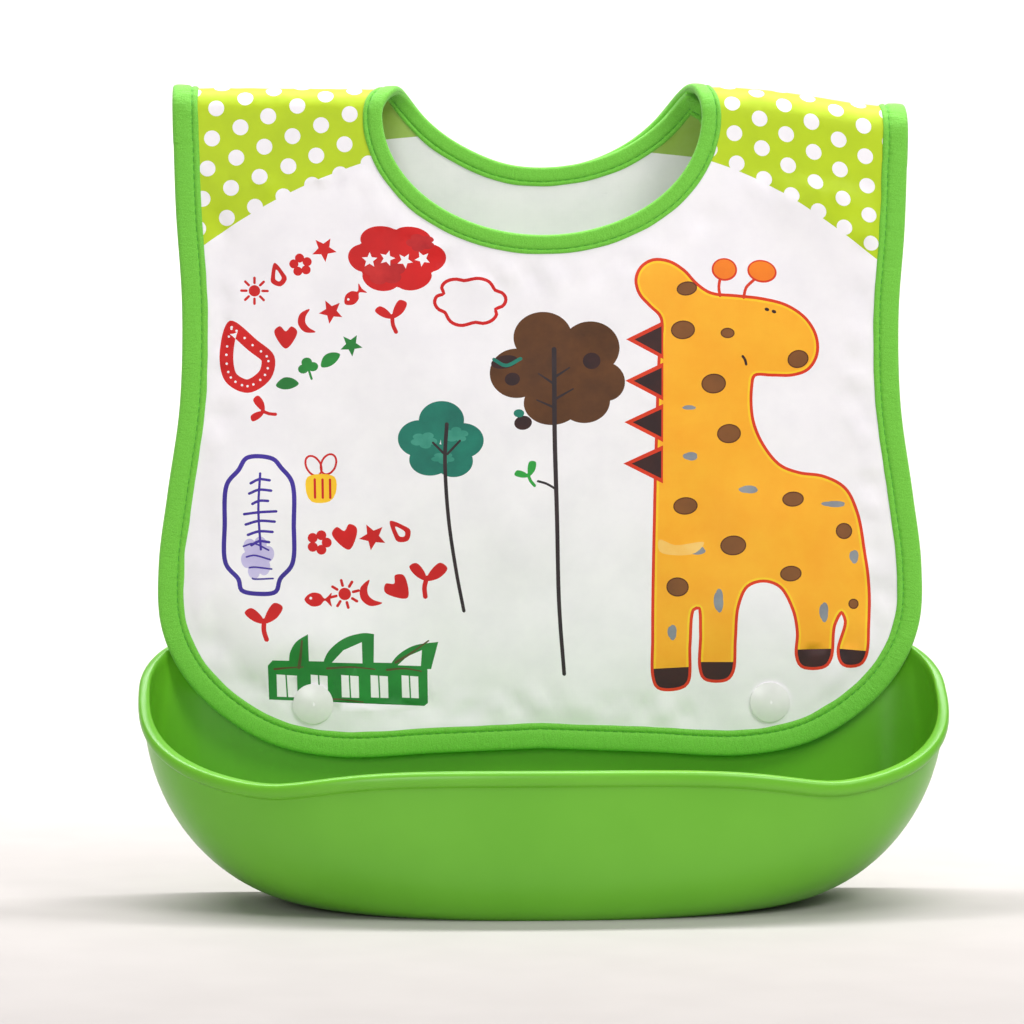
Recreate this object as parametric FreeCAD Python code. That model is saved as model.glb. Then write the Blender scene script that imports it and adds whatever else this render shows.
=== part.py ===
"""Toddler's bib: a printed, laminated-fabric bib with bound edges, whose back flaps close with hook and loop,
snapped into a moulded silicone food catcher that stands on its own flat foot.

Frame: millimetres, +Z up, the wearer's front towards -Y, +X to the right seen from the front.
The origin is the middle of the flat foot under the catcher. Every size below is a driving size, written once.
"""

import FreeCAD, Part

import math
import os

V = FreeCAD.Vector

# --- silicone catcher -------------------------------------------------------------------------------------------
catcher_half_width = 135.0
catcher_front = 52.0          # how far the lip stands in front of the origin
catcher_rear = 34.0           # how far the rear wall's outer face stands behind it
catcher_corner = 20.0         # plan radius of the two rear corners
catcher_wall = 2.2
catcher_roundness = 2.5       # superellipse power of the front's plan curve
foot_half_width = 74.0
foot_front = 43.0
foot_rear = 22.0
foot_corner = 12.0
belly_height_rear = 20.0      # height at which the rear, side and front walls have become upright
belly_height_side = 66.0
belly_height_front = 53.0
lip_centre_height = 48.5
lip_low_height = 43.5
lip_low_y = -40.0             # where the lip is lowest, each side of its raised middle
rear_rim_height = 87.0
rim_climb = 1.27              # power of the rim's climb from its lowest point to the rear
bead_height = 4.6             # rounded bead along the whole rim
bead_outward = 1.3
bead_inward = 0.4

# --- fabric bib -------------------------------------------------------------------------------------------------
cloth = 0.8
tape = 0.6                    # thickness of one layer of the folded binding tape
tape_gap = 0.2                # between the cloth's cut edge and the fold of the tape
panel_y = 26.0                # mid-plane of the front panel
roll_radius = 9.0             # the left flap's fold over the shoulder
shoulder_height = 264.6       # where the front panel meets the shoulder fold
shoulder_half_width = 125.5
neck_half_width = 54.4
neck_drop_front = 40.7
neck_drop_back = 16.8         # below the shoulder, at the middle of the back
edge_binding_width = 9.2
neck_binding_width = 6.8
flap_binding_width = 7.5
widest_height = 112.0         # the panel is widest here; its outline above is in shares of the way to the shoulder
neck_plug_depth = 10.0
# right half of the front panel's bound edge: above the widest height, then from there to the middle of the hem
panel_side = [(shoulder_half_width, 1.0), (124.8, 0.786), (123.2, 0.577), (124.2, 0.354), (128.2, 0.157)]
panel_hem = [(130.4, widest_height), (128.8, 92), (123.0, 77), (112.5, 63.5), (93.0, 51.2), (70.0, 46.4),
             (35.0, 47.6), (0.0, 49.0)]
# right half of the back flaps' lower edge, from the shoulder to the middle of the back, in drops below the shoulder
flap_edge = [(shoulder_half_width, 0.0), (122.8, 21.6), (111.0, 42.6), (88.0, 56.1), (58.0, 62.1), (28.0, 63.6),
             (0.0, 64.0)]

# --- closure at the back of the neck ----------------------------------------------------------------------------
flap_reach_left = 58.0        # the inner flap's end goes this far past the middle
flap_reach_right = 22.0
flap_end_top = 4.0            # the inner flap's far end stays this far below the shoulder
tip_radius = 10.0
patch_width = 40.0
patch_height = 22.0
patch_corner = 3.0
patch_drop = 40.1             # middle of the patches below the shoulder
loop_thickness = 1.1
hook_thickness = 1.0
body_gap = 0.3                # between parts of different bodies that meet

# --- plastic snaps ----------------------------------------------------------------------------------------------
snap_x = 78.0
snap_z = 64.5
cap_radius = 6.8
cap_thickness = 1.7
cap_edge = 0.7
post_radius = 1.5
post_clearance = 0.05
hole_clearance = 0.2
socket_radius = 5.5
socket_height = 3.3
socket_floor = 1.0
socket_bore = 2.7
rivet_radius = 2.1            # the post's flattened end, in the socket
rivet_thickness = 0.5
snap_fit_clearance = 0.06
nub_reach = 1.3               # how far the stud's nub goes into the socket
nub_tip_gap = 0.4             # the stud cap's post stops this short of the nub's end
stud_flange_radius = 5.2
stud_cap_radius = 6.2
stud_cap_thickness = 1.3
stud_cap_edge = 0.6

bound = cloth / 2 + tape                      # half the thickness of a bound edge
cloth_inset = tape + tape_gap                 # the cloth stops short of the tape's fold by this
wall_inner_y = catcher_rear - catcher_wall
flap_step = cloth + loop_thickness + body_gap + hook_thickness
# radius of each shoulder fold, by side: the right flap closes over the left one
fold_radius = {-1: roll_radius, 1: roll_radius + flap_step / 2}
side_name = {-1: "left", 1: "right"}
far = 400.0


def smoothstep(t):
    t = min(1.0, max(0.0, t))
    return t * t * (3 - 2 * t)


# --- catcher ----------------------------------------------------------------------------------------------------
def plan_half(half_width, front, rear, corner, straight_steps=8, corner_steps=8, front_steps=22):
    """Right half of a plan outline, from the rear's middle to the front's: straight, round corner, superellipse.
    Each entry is (x, y, unit normal)."""
    points = []
    for i in range(straight_steps):
        points.append(((half_width - corner) * i / straight_steps, rear, (0.0, 1.0)))
    for i in range(corner_steps):
        a = math.pi / 2 * (1 - i / corner_steps)
        normal = (math.cos(a), math.sin(a))
        points.append((half_width - corner + corner * normal[0], rear - corner + corner * normal[1], normal))
    side_y = rear - corner
    depth = side_y + front
    power = 2 / catcher_roundness
    for i in range(front_steps + 1):
        a = math.pi / 2 * i / front_steps
        c, s = max(math.cos(a), 0.0), math.sin(a)
        x, y = half_width * c ** power, side_y - depth * s ** power
        nx = (x / half_width) ** (catcher_roundness - 1) / half_width
        ny = -((side_y - y) / depth) ** (catcher_roundness - 1) / depth
        size = math.hypot(nx, ny)
        points.append((x, y, (nx / size, ny / size)))
    return points


def rim_height(y):
    """Height of the rim above the foot at a distance y behind the origin."""
    if y > lip_low_y:
        t = (y - lip_low_y) / (catcher_rear - lip_low_y)
        return lip_low_height + (rear_rim_height - lip_low_height) * t ** rim_climb
    t = (lip_low_y - y) / (catcher_front + lip_low_y)
    return lip_low_height + (lip_centre_height - lip_low_height) * smoothstep(t)


def catcher_profile(foot, full, inner_foot, inner_full, rim):
    """One radial section of the catcher's wall: up the outside, round the bead and down the inside to the floor."""
    fx, fy, (nx, ny) = full
    upright = (belly_height_side * nx * nx
               + (belly_height_rear if ny > 0 else belly_height_front) * ny * ny)

    def wall_point(low, high, z, bottom):
        q = min(1.0, (z - bottom) / (upright - bottom))
        swell = math.sqrt(1 - (1 - q) ** 2)
        return V(low[0] + (high[0] - low[0]) * swell, low[1] + (high[1] - low[1]) * swell, z)

    def beside(base, out, z):
        return V(base.x + nx * out, base.y + ny * out, z)

    under_bead = rim - bead_height
    steps = 9
    climb = [(i / steps) ** 1.7 for i in range(steps + 1)]
    outside = [wall_point(foot, full, (under_bead - 0.9) * c, 0.0) for c in climb]
    inside = [wall_point(inner_foot, inner_full, catcher_wall + (under_bead - 0.9 - catcher_wall) * c, catcher_wall)
              for c in climb]
    outer_top = wall_point(foot, full, rim, 0.0)
    inner_top = wall_point(inner_foot, inner_full, rim, catcher_wall)
    bead = [wall_point(foot, full, under_bead - 0.25, 0.0),
            beside(wall_point(foot, full, under_bead, 0.0), bead_outward * 0.7, under_bead + 0.1),
            beside(outer_top, bead_outward, under_bead + 0.9),
            beside(outer_top, bead_outward * 1.1, rim - 1.7),
            beside(outer_top, bead_outward * 0.8, rim - 0.2),
            beside(outer_top, -0.1, rim + 0.35),
            beside(inner_top, 0.1, rim + 0.35),
            beside(inner_top, -bead_inward, rim - 0.4),
            beside(inner_top, -bead_inward, rim - 2.0),
            beside(inner_top, -bead_inward * 0.6, under_bead + 0.6)]
    return outside + bead + inside[::-1]


def spline_surface(rows, periodic_columns):
    """A cubic B-spline surface on a net of poles: rows are clamped, columns are periodic."""
    degree = 3
    v_count = len(rows)
    columns = len(rows[0])
    v_knots = list(range(v_count - degree + 1))
    v_mults = [degree + 1] + [1] * (len(v_knots) - 2) + [degree + 1]
    u_knots = list(range(columns + 1))
    u_mults = [1] * len(u_knots)
    surface = Part.BSplineSurface()
    surface.buildFromPolesMultsKnots(rows, v_mults, u_mults, v_knots, u_knots, False, periodic_columns, degree, degree)
    return surface


def make_catcher():
    def outline(*sizes):
        return plan_half(*sizes)

    inset = catcher_wall
    full = outline(catcher_half_width, catcher_front, catcher_rear, catcher_corner)
    foot = outline(foot_half_width, foot_front, foot_rear, foot_corner)
    inner_full = outline(catcher_half_width - inset, catcher_front - inset, catcher_rear - inset,
                         catcher_corner - inset)
    inner_foot = outline(foot_half_width - inset, foot_front - inset, foot_rear - inset, foot_corner - inset)
    half = [catcher_profile(foot[i], full[i], inner_foot[i], inner_full[i], rim_height(full[i][1]))
            for i in range(len(full))]
    mirrored = [[V(-p.x, p.y, p.z) for p in section] for section in half[-2:0:-1]]
    sections = half + mirrored
    rows = [[section[k] for section in sections] for k in range(len(sections[0]))]
    wall = spline_surface(rows, True).toShape()
    rings = sorted((e for e in wall.Edges if e.BoundBox.ZLength < 1e-6), key=lambda e: e.BoundBox.ZMin)
    foot_face = Part.Face(Part.Wire([rings[0]]))
    floor_face = Part.Face(Part.Wire([rings[-1]]))
    shell = Part.makeShell([wall, foot_face, floor_face])
    shell.sewShape()
    bowl = Part.makeSolid(shell)
    if bowl.Volume < 0:
        bowl.reverse()
    for side in (-1, 1):
        hole = Part.makeCylinder(post_radius + hole_clearance, 3 * catcher_wall,
                                 V(side * snap_x, wall_inner_y - catcher_wall, snap_z), V(0, 1, 0))
        bowl = bowl.cut(hole)
    return bowl


# --- flat cloth shapes, drawn in the XZ plane -------------------------------------------------------------------
def at(x, z, y=0.0):
    return V(x, y, z)


def spline_through(half_points):
    """A smooth symmetrical curve from the right end, through the middle, to the left end."""
    right = [at(x, z) for x, z in half_points]
    left = [at(-x, z) for x, z in half_points[-2::-1]]
    curve = Part.BSplineCurve()
    curve.interpolate(right + left)
    return curve


panel_rise = shoulder_height - widest_height
panel_curve = spline_through([(x, widest_height + share * panel_rise) for x, share in panel_side] + panel_hem)
flap_curve = spline_through([(x, shoulder_height - drop) for x, drop in flap_edge])


def box(x_low, x_high, z_low, z_high):
    return Part.makeBox(x_high - x_low, 2 * far, z_high - z_low, V(x_low, -far, z_low))


def slab(face, mid_y, half_thickness):
    placed = face.copy()
    placed.translate(V(0, mid_y - half_thickness, 0))
    return placed.extrude(V(0, 2 * half_thickness, 0))


def inset_curve(curve, inset):
    """The curve moved inwards, towards the middle of the cloth, by a distance."""
    steps = 96
    first, last = curve.FirstParameter, curve.LastParameter
    points = []
    for i in range(steps + 1):
        u = first + (last - first) * i / steps
        along = curve.tangent(u)[0]
        points.append(curve.value(u) + V(along.z, 0, -along.x).normalize() * inset)
    moved = Part.BSplineCurve()
    moved.interpolate(points)
    return moved


def below_shoulder(curve, inset, mid_y, half_thickness):
    """A slab above one lower bound edge, inset from it, up to the shoulder."""
    lower = inset_curve(curve, inset)
    right, left = lower.StartPoint, lower.EndPoint
    top = shoulder_height + 10
    corners = [left, at(left.x, top), at(right.x, top), right]
    sides = [Part.makeLine(corners[i], corners[i + 1]) for i in range(3)]
    face = Part.Face(Part.Wire([lower.toShape()] + sides))
    return slab(face, mid_y, half_thickness).cut(box(-far, far, shoulder_height, far))


def neck_slab(centre_z, drop, grow, mid_y):
    """The neck opening as a thick elliptical plug, grown outwards by the width of cloth to leave out."""
    ellipse = Part.Ellipse(at(neck_half_width + grow, centre_z), at(0, centre_z - drop - grow), at(0, centre_z))
    return slab(Part.Face(Part.Wire([ellipse.toShape()])), mid_y, neck_plug_depth)


def single(shape):
    """The one solid in a shape, and a stop if there are more."""
    if len(shape.Solids) != 1:
        raise ValueError(f"expected one solid, got {len(shape.Solids)}")
    return shape.Solids[0]


# --- front panel ------------------------------------------------------------------------------------------------
def make_front():
    def plate(edge_inset, neck_inset, half_thickness):
        plug = neck_slab(shoulder_height, neck_drop_front, neck_inset, panel_y)
        return below_shoulder(panel_curve, edge_inset, panel_y, half_thickness).cut(plug)

    core = plate(cloth_inset, cloth_inset, cloth / 2)
    whole = plate(0, 0, bound)
    inside_edge = below_shoulder(panel_curve, edge_binding_width, panel_y, 2 * bound)
    around_neck = neck_slab(shoulder_height, neck_drop_front, neck_binding_width, panel_y)
    panel = core
    for side in (-1, 1):
        panel = panel.cut(Part.makeCylinder(post_radius + hole_clearance, 4 * cloth,
                                            V(side * snap_x, panel_y - 2 * cloth, snap_z), V(0, 1, 0)))
    return {"front_panel": single(panel),
            "front_edge_binding": single(whole.cut(inside_edge).cut(core)),
            "front_neck_binding": single(whole.common(around_neck).cut(core))}


# --- shoulder folds ---------------------------------------------------------------------------------------------
def neck_half_at(s, side, grow):
    """Half width of the neck opening at a distance s along the cloth behind the front panel's top."""
    reach = math.pi * fold_radius[side] + neck_drop_back + grow
    return (neck_half_width + grow) * math.sqrt(1 - (s / reach) ** 2)


def fold_band(side, edge_inset, neck_inset, half_thickness):
    """A half tube over the shoulder, from the neck opening's plan curve out to the bound side edge."""
    radius = fold_radius[side]
    axis = V(0, panel_y + radius, shoulder_height)
    tube = Part.makeCylinder(radius + half_thickness, shoulder_half_width - edge_inset, axis, V(1, 0, 0))
    tube = tube.cut(Part.makeCylinder(radius - half_thickness, far, axis, V(1, 0, 0)))
    tube = tube.cut(box(-far, far, -far, shoulder_height))
    steps = 12
    points = []
    for i in range(steps + 1):
        a = math.pi * i / steps
        points.append(V(neck_half_at(radius * a, side, neck_inset), axis.y - radius * math.cos(a), 0))
    points = [points[0] + V(0, -half_thickness - 1, 0)] + points + [points[-1] + V(0, half_thickness + 1, 0)]
    points = [V(-1, points[0].y, 0)] + points + [V(-1, points[-1].y, 0)]
    plan = Part.Face(Part.makePolygon(points + points[:1]))
    tube = tube.cut(plan.extrude(V(0, 0, far)))
    return tube if side > 0 else tube.mirror(V(0, 0, 0), V(1, 0, 0))


def make_fold(side):
    name = side_name[side]
    core = fold_band(side, cloth_inset, cloth_inset, cloth / 2)
    whole = fold_band(side, 0, 0, bound)
    inside_edge = fold_band(side, edge_binding_width, -5, 2 * bound)
    past_neck = fold_band(side, -5, neck_binding_width, 2 * bound)
    return {f"{name}_shoulder_fold": single(core),
            f"{name}_fold_edge_binding": single(whole.cut(inside_edge).cut(core)),
            f"{name}_fold_neck_binding": single(whole.cut(past_neck).cut(core))}


# --- back flaps -------------------------------------------------------------------------------------------------
def flap_plate(side, reach, edge_inset, neck_inset, half_thickness, corner):
    """A back flap, from its shoulder to its rounded end past the middle of the back."""
    radius = fold_radius[side]
    mid_y = panel_y + 2 * radius
    fold = math.pi * radius
    plate = below_shoulder(flap_curve, edge_inset, mid_y, half_thickness)
    plate = plate.cut(neck_slab(shoulder_height + fold, fold + neck_drop_back, neck_inset, mid_y))
    end = -side * (reach - edge_inset)
    cut_away = box(end, far, -far, far) if side < 0 else box(-far, end, -far, far)
    plate = single(plate.cut(cut_away))
    if side < 0:
        top = shoulder_height - flap_end_top - max(edge_inset, 0)
        plate = single(plate.cut(box(0, far, top, far)))
    if corner > 0:
        tips = [e for e in plate.Edges
                if abs(e.BoundBox.XMin - end) < 0.01 and abs(e.BoundBox.XMax - end) < 0.01
                and e.BoundBox.YLength > half_thickness]
        plate = plate.makeFillet(corner, tips)
    return plate


def make_flap(side):
    name = side_name[side]
    reach = flap_reach_left if side < 0 else flap_reach_right
    core = flap_plate(side, reach, cloth_inset, cloth_inset, cloth / 2, tip_radius - cloth_inset)
    whole = flap_plate(side, reach, 0, 0, bound, tip_radius)
    inside_edge = flap_plate(side, reach, flap_binding_width, -15, 2 * bound, 0)
    past_neck = flap_plate(side, reach + 10, -10, neck_binding_width, 2 * bound, 0)
    edge_band = whole.cut(inside_edge).cut(core)
    neck_band = whole.cut(past_neck).cut(core).cut(edge_band)
    edge_band = sorted(edge_band.Solids, key=lambda solid: solid.Volume)[-1]
    neck_band = sorted(neck_band.Solids, key=lambda solid: solid.Volume)[-1]
    return {f"{name}_flap": single(core),
            f"{name}_flap_edge_binding": edge_band,
            f"{name}_flap_neck_binding": neck_band}


def make_patch(y_low, thickness):
    """A rounded rectangle of closure tape, in the middle of where both flaps overlap."""
    middle = (flap_reach_left - flap_reach_right) / 2
    corner = V(middle - patch_width / 2, y_low, shoulder_height - patch_drop - patch_height / 2)
    block = Part.makeBox(patch_width, thickness, patch_height, corner)
    upright = [e for e in block.Edges if e.BoundBox.YLength > thickness / 2]
    return single(block.makeFillet(patch_corner, upright))


# --- snaps ------------------------------------------------------------------------------------------------------
def disc(x, y, radius, thickness, direction=1):
    return Part.makeCylinder(radius, thickness, V(x, y, snap_z), V(0, direction, 0))


def domed_disc(x, y, radius, thickness, edge, direction):
    """A flat-backed disc standing off the plane y, with a rounded outer face."""
    rise = thickness - edge
    ball_radius = (radius ** 2 + rise ** 2) / (2 * rise)
    ball = Part.makeSphere(ball_radius, V(x, y + direction * (thickness - ball_radius), snap_z), V(0, 1, 0))
    return disc(x, y, radius, thickness, direction).common(ball)


def make_snap(side):
    name = side_name[side]
    x = side * snap_x
    cloth_front, cloth_back = panel_y - cloth / 2, panel_y + cloth / 2
    socket_back = cloth_back + socket_height
    rivet_y = cloth_back + socket_floor
    cap = domed_disc(x, cloth_front, cap_radius, cap_thickness, cap_edge, -1)
    cap = cap.fuse(disc(x, cloth_front - cap_edge / 2, post_radius, rivet_y - cloth_front + cap_edge / 2))
    cap = cap.fuse(disc(x, rivet_y, rivet_radius, rivet_thickness))
    socket = disc(x, cloth_back, socket_radius, socket_height)
    socket = socket.cut(disc(x, cloth_back - 1, post_radius + post_clearance, socket_height + 2))
    socket = socket.cut(disc(x, rivet_y, socket_bore, socket_height))
    flange_y = socket_back + body_gap
    nub_end = socket_back - nub_reach
    stud = disc(x, flange_y, stud_flange_radius, wall_inner_y - flange_y)
    stud = stud.fuse(disc(x, nub_end, socket_bore - snap_fit_clearance, flange_y - nub_end + 0.5))
    stud = stud.cut(disc(x, nub_end - 1, post_radius + post_clearance, far))
    stud_cap = domed_disc(x, catcher_rear, stud_cap_radius, stud_cap_thickness, stud_cap_edge, 1)
    post_end = nub_end + nub_tip_gap
    stud_cap = stud_cap.fuse(disc(x, post_end, post_radius, catcher_rear - post_end + stud_cap_edge / 2))
    return {f"{name}_snap_cap": single(cap), f"{name}_snap_socket": single(socket),
            f"{name}_snap_stud": single(stud), f"{name}_stud_cap": single(stud_cap)}


def main():
    os.makedirs("parts", exist_ok=True)
    parts = {"catcher": single(make_catcher())}
    parts.update(make_front())
    for side in (-1, 1):
        parts.update(make_snap(side))
        parts.update(make_fold(side))
        parts.update(make_flap(side))
    left_back = panel_y + 2 * fold_radius[-1] + cloth / 2
    right_front = panel_y + 2 * fold_radius[1] - cloth / 2
    parts["loop_patch"] = make_patch(left_back, loop_thickness)
    parts["hook_patch"] = make_patch(right_front - hook_thickness, hook_thickness)
    for name, shape in parts.items():
        shape.exportStep(f"parts/{name}.step")


main()
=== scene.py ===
import math
import random

import bpy
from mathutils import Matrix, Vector, kdtree, noise
from mathutils.geometry import delaunay_2d_cdt


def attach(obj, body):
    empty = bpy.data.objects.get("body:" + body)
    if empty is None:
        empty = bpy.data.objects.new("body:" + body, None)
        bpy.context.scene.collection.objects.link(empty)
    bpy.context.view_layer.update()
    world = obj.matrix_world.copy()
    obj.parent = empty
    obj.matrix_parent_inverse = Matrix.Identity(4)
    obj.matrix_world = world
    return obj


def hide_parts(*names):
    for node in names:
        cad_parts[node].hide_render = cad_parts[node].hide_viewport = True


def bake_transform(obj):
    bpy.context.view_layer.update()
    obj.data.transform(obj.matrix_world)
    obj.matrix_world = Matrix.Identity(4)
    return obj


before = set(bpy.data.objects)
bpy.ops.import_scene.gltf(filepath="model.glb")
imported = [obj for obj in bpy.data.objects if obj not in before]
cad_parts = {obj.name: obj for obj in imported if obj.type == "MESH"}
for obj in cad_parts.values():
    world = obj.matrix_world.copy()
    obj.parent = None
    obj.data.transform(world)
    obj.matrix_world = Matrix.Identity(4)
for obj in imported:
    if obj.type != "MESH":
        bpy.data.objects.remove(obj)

bl_info = {
    "name": "Toddler's bib with silicone catcher",
    "version": (1, 0, 0),
    "blender": (4, 5, 0),
    "location": "3D Viewport > Sidebar > Bib",
    "description": "Builds the cloth, bindings, print, finishes and stage of a bib around its CAD frame",
    "category": "Object",
}

# Sizes in millimetres, turned to metres where a mesh is made. "Along the cloth" means height on the front panel,
# carried on over the shoulder fold and down the back flap.
MM = 0.001
PANEL_Y = 26.0
SHOULDER = 264.6
FOLD_RADIUS = {-1: 9.0, 1: 10.6}
SIDE_NAME = {-1: "left", 1: "right"}
SEAM = 255.0                 # the front piece and the flap pieces meet here, where the cloth is flat
LAP = 0.8                    # the flaps' tape reaches this far below the seam, over the front's tape
NECK_HALF = 54.4
NECK_DROP_FRONT = 40.7
NECK_DROP_BACK = 16.2
SNAPS = [(-78.0, 64.5), (78.0, 64.5)]
PANEL_EDGE = [(125.2, 264.6), (124.2, 232), (122.2, 200), (123.0, 166), (127.2, 136), (130.2, 112), (129.6, 92),
              (123.8, 77), (112.5, 63.5), (93.0, 51.2), (70.0, 46.4), (35.0, 47.6), (0.0, 49.0)]
FLAP_EDGE = [(125.5, 264.6), (122.8, 243), (111.0, 222), (88.0, 208.5), (58.0, 202.5), (28.0, 201), (0.0, 200.6)]
YOKE_HEIGHT, YOKE_RADIUS = 66.0, 192.0       # the arc that bounds the dotted yoke
PATH_STEP, TAPE_STEP = 1.2, 0.75             # spacing of the points along an outline, and along a tape
EDGE_WIDTH = 8.7
NECK_WIDTH = 6.6
FLAP_WIDTH = 7.5
GROOVE = 0.76                # where the stitches run, as a share of the tape's width from its outer edge


# --- plane curves
def smooth_path(points, closed=False, step=1.5):
    """A centripetal spline through the points, as a list of points about a step apart."""
    n = len(points)
    out = []
    for i in range(n if closed else n - 1):
        p1, p2 = Vector(points[i]), Vector(points[(i + 1) % n])
        p0 = Vector(points[i - 1]) if closed or i > 0 else p1 * 2 - p2
        p3 = Vector(points[(i + 2) % n]) if closed or i + 2 < n else p2 * 2 - p1
        a, b, c = ((q - p).length ** 0.5 + 1e-9 for p, q in ((p0, p1), (p1, p2), (p2, p3)))
        m1 = (p2 - p1) + b * ((p1 - p0) / a - (p2 - p0) / (a + b))
        m2 = (p2 - p1) + b * ((p3 - p2) / c - (p3 - p1) / (b + c))
        count = max(2, round((p2 - p1).length / step))
        for k in range(count):
            t = k / count
            out.append(tuple((2 * t ** 3 - 3 * t ** 2 + 1) * p1 + (t ** 3 - 2 * t ** 2 + t) * m1
                             + (3 * t ** 2 - 2 * t ** 3) * p2 + (t ** 3 - t ** 2) * m2))
    if not closed:
        out.append(tuple(points[-1]))
    return out


def run_lengths(path):
    """The distance along the path to each of its points."""
    out = [0.0]
    for a, b in zip(path, path[1:]):
        out.append(out[-1] + math.dist(a, b))
    return out


def even_steps(path, step):
    """The same open path cut into equal steps of about that length."""
    lengths = run_lengths(path)
    count = max(2, round(lengths[-1] / step))
    out, i = [], 0
    for k in range(count + 1):
        want = lengths[-1] * k / count
        while i < len(path) - 2 and lengths[i + 1] < want:
            i += 1
        span = max(lengths[i + 1] - lengths[i], 1e-9)
        t = min(1.0, max(0.0, (want - lengths[i]) / span))
        out.append(tuple(a + (b - a) * t for a, b in zip(path[i], path[i + 1])))
    return out


def heading(path, i, closed=False):
    """The unit direction of a path at one of its points."""
    n = len(path)
    a, b = (path[i - 1], path[(i + 1) % n]) if closed else (path[max(0, i - 1)], path[min(n - 1, i + 1)])
    size = math.dist(a, b) or 1.0
    return (b[0] - a[0]) / size, (b[1] - a[1]) / size


def inside(point, loop):
    x, z = point
    hit = False
    ax, az = loop[-1]
    for bx, bz in loop:
        if (az > z) != (bz > z) and x < ax + (z - az) * (bx - ax) / (bz - az):
            hit = not hit
        ax, az = bx, bz
    return hit


def smoothstep(t):
    t = min(1.0, max(0.0, t))
    return t * t * (3 - 2 * t)


# --- the cloth's shape
def back_start(side):
    return SHOULDER + math.pi * FOLD_RADIUS[side]


def front_outline_paths():
    """The front piece's bound edges: the outer one from right to left, and the neck from left to right."""
    half = smooth_path(PANEL_EDGE)
    whole = half + [(-x, z) for x, z in half[-2::-1]]
    outer = [p for p in whole if p[1] <= SEAM]
    corner = next(a[0] + (b[0] - a[0]) * (a[1] - SEAM) / (a[1] - b[1]) for a, b in zip(half, half[1:]) if b[1] < SEAM)
    outer = [(corner, SEAM)] + outer + [(-corner, SEAM)]
    start = math.asin((SHOULDER - SEAM) / NECK_DROP_FRONT)
    angles = [start + (math.pi - 2 * start) * i / 80 for i in range(81)]
    neck = [(-NECK_HALF * math.cos(a), SHOULDER - NECK_DROP_FRONT * math.sin(a)) for a in angles]
    return even_steps(outer, PATH_STEP), even_steps(neck, PATH_STEP)


def flap_outline_path(side):
    """A flap piece's bound edge, from the seam at the front's outer edge, over the shoulder, round the flap and
    back over the shoulder to the seam at the front's neck."""
    start = back_start(side)
    far = 64.0 if side < 0 else 22.0
    low = smooth_path(FLAP_EDGE)
    low += [(-x, z) for x, z in low[-2::-1]]
    path = [(125.0, SEAM - LAP), (125.1, SEAM + 1), (125.3, SHOULDER), (125.5, start)]
    path += [(x, start + SHOULDER - z) for x, z in low[1:] if x > -far + 9.5]
    bottom = start + SHOULDER - 201.0 - (1.0 if side < 0 else 0.0)
    path += [(-far + 5.0, bottom - 1.6), (-far + 1.4, bottom - 5.5), (-far, bottom - 11.0)]
    reach = math.pi * FOLD_RADIUS[side] + NECK_DROP_BACK
    if side < 0:
        path += [(-far, bottom - 30.0), (-far, start + 14.0), (-far + 0.6, start + 3.0), (-far + 3.4, start - 4.4),
                 (-far + 8.4, start - 8.0)]
        first = math.asin(-50.6 / NECK_HALF)
    else:
        neck_s = SHOULDER + reach * math.sqrt(1 - (far / NECK_HALF) ** 2)
        path += [(-far, bottom - 22.0), (-far, neck_s + 9.0), (-far + 1.8, neck_s + 5.0), (-far + 6.5, neck_s + 3.6)]
        first = math.asin(-10.5 / NECK_HALF)
    steps = 60
    for i in range(steps + 1):
        a = first + (math.pi / 2 - first) * i / steps
        x, s = NECK_HALF * math.sin(a), SHOULDER + reach * math.cos(a)
        path.append((x - (3.4 if side < 0 else 0.6) * smoothstep(x / 30) * smoothstep((s - SHOULDER) / 12), s))
    for i in range(1, 9):
        s = SHOULDER - (SHOULDER - SEAM + LAP) * i / 8
        path.append((NECK_HALF * math.sqrt(1 - ((SHOULDER - s) / NECK_DROP_FRONT) ** 2), s))
    return even_steps([(x * side, s) for x, s in smooth_path(path, step=1.0)], PATH_STEP)


def wrinkle(settings, x, s, edge):
    """How far the cloth stands off its plane, in mm, towards the viewer of its printed face."""
    calm = 1.0
    for px, pz in SNAPS:
        calm *= smoothstep((math.dist((x, s), (px, pz)) - 8.0) / 16.0)
    calm *= smoothstep((edge - 7.8) / 5.5) * smoothstep((abs(s - SEAM) - 0.5) / 12)
    if s > SHOULDER - 14:
        calm *= 1 - 0.85 * smoothstep((s - SHOULDER + 14) / 14)
    depth = settings.wrinkle_depth * 1000
    broad = noise.noise(Vector((x / 62, s / 84, 3.1))) * 1.2
    folds = math.sin((x * 0.62 + s * 0.78) / 9.0 + 1.7 * noise.noise(Vector((x / 70, s / 70, 9.0))))
    corner = math.exp(-((x + 92) / 30) ** 2 - ((s - 92) / 34) ** 2)
    corner += 0.8 * math.exp(-((x - 84) / 34) ** 2 - ((s - 226) / 22) ** 2)
    fine = noise.noise(Vector((x / 17, s / 23, 5.0)))
    pucker = math.exp(-((edge - 13.0) / 5.0) ** 2) * noise.noise(Vector((x / 7.5, s / 7.5, 1.0)))
    ring = sum(math.exp(-((math.dist((x, s), snap) - 11.5) / 3.0) ** 2) for snap in SNAPS)
    soft = broad + 0.55 * folds * corner + 0.28 * fine + settings.edge_pucker * pucker
    return calm * depth * soft + 0.35 * ring * smoothstep((edge - 9.0) / 3.0)


def droop(x, s):
    """The right shoulder's outer end hangs a little lower."""
    return -6.6 * smoothstep((x - 62) / 66) * smoothstep((s - 150) / 110)


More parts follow.
